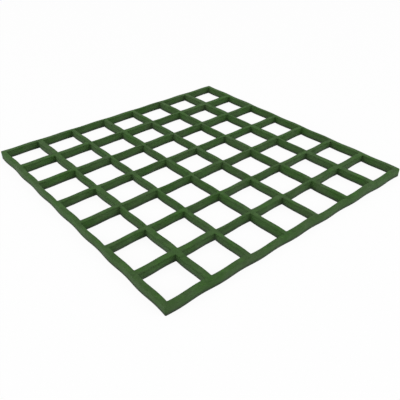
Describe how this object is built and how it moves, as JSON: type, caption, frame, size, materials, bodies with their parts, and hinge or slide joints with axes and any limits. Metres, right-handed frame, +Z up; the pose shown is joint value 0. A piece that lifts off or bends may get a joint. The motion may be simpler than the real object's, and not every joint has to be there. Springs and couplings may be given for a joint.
{
  "type": "grass paver grid",
  "caption": "Flat square moulded grid of low wavy bars with open square cells, laid on level ground to carry loads while grass or gravel fills its cells.",
  "frame": {"origin": "middle of the panel, on its underside", "axes": "+Z up, out of the top of the bars; +X and +Y along the two directions of the bars"},
  "size_m": [0.6118, 0.6118, 0.018],
  "materials": {
    "green_plastic": "satin, faintly mottled recycled plastic"
  },
  "bodies": {
    "root": {"paver_grid": "green_plastic"}
  },
  "joints": []
}
